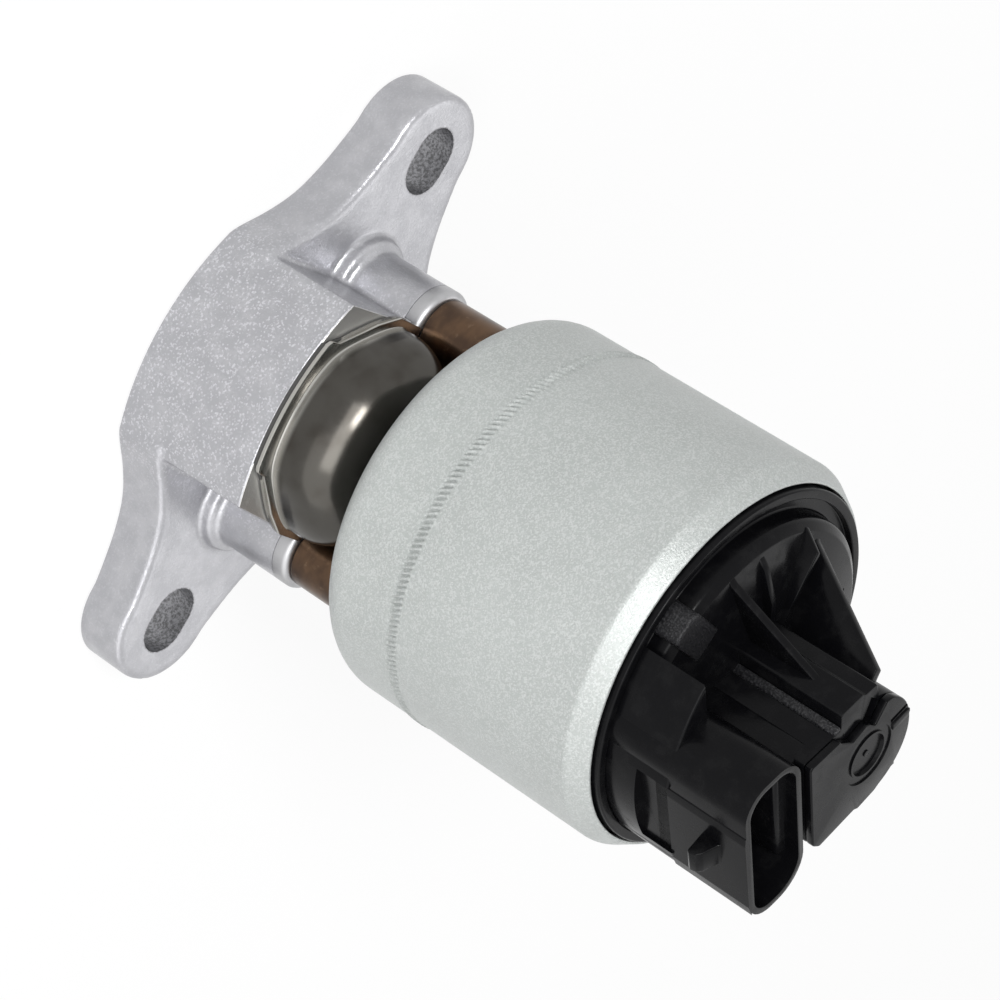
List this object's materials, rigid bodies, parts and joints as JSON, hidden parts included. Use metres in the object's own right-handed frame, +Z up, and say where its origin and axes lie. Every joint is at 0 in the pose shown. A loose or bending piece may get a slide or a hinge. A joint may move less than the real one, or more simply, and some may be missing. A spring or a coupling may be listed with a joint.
{
  "type": "exhaust gas recirculation valve",
  "caption": "Linear solenoid valve on a slotted two-ear flange, with a heat shield, spacer posts, a round can and a position sensor cap with a socket.",
  "frame": {"origin": "valve axis at the bottom face of the mounting flange", "axes": "+Z up the valve axis to the connector, +X along the line of the two flange ears, +Y to the back, away from the connector side"},
  "size_m": [0.1056, 0.064, 0.1233],
  "materials": {
    "cast_grey": "sand-cast and blasted, silver-grey",
    "seat_steel": "ground",
    "bronze": "plain",
    "black_rubber": "satin",
    "gasket": "compressed sheet",
    "stainless": "dark glossy stamping",
    "copper_plate": "brown satin, plated",
    "zinc": "pale silver satin",
    "steel": "machined",
    "bobbin": "moulded",
    "copper_wire": "enamelled",
    "black_plastic": "moulded, satin to gloss",
    "board": "printed",
    "tin": "tinned",
    "pale_plastic": "moulded"
  },
  "bodies": {
    "housing": {"base_casting": "cast_grey", "valve_seat": "seat_steel", "shaft_bush": "bronze", "shaft_seal": "black_rubber", "bush_retainer": "steel", "shield_gasket": "gasket", "heat_shield": "stainless", "spacer_left": "copper_plate", "spacer_right": "copper_plate", "assembly_screws": "steel", "solenoid_can": "zinc", "lower_pole_plate": "steel", "coil_bobbin": "bobbin", "coil_winding": "copper_wire", "armature_sleeve": "steel", "wave_washer": "steel", "upper_pole_piece": "steel", "cap_seal": "black_rubber", "sensor_cap": "black_plastic", "sensor_cover": "black_plastic", "resistor_board": "board", "terminal_1": "tin", "terminal_2": "tin", "terminal_3": "tin", "terminal_4": "tin", "terminal_5": "tin", "coil_lead_1": "copper_wire", "coil_lead_2": "copper_wire", "return_spring": "steel", "sensor_spring": "steel"},
    "valve": {"pintle": "seat_steel", "armature": "steel", "armature_nut": "steel"},
    "sensor": {"sensor_plunger": "steel", "wiper_carrier": "pale_plastic"}
  },
  "joints": [
    {"name": "valve_lift", "type": "slide", "parent": "housing", "child": "valve", "axis": [0, 0, 1], "range_m": [0, 0.0045], "stiffness_N_per_m": 900, "springref_m": -0.004, "deforming": ["return_spring"]},
    {"name": "sensor_follow", "type": "slide", "parent": "housing", "child": "sensor", "axis": [0, 0, 1], "range_m": [0, 0.0045], "deforming": ["sensor_spring"]}
  ],
  "couplings": [
    {"joint": "sensor_follow", "follows": "valve_lift", "ratio": 1}
  ]
}
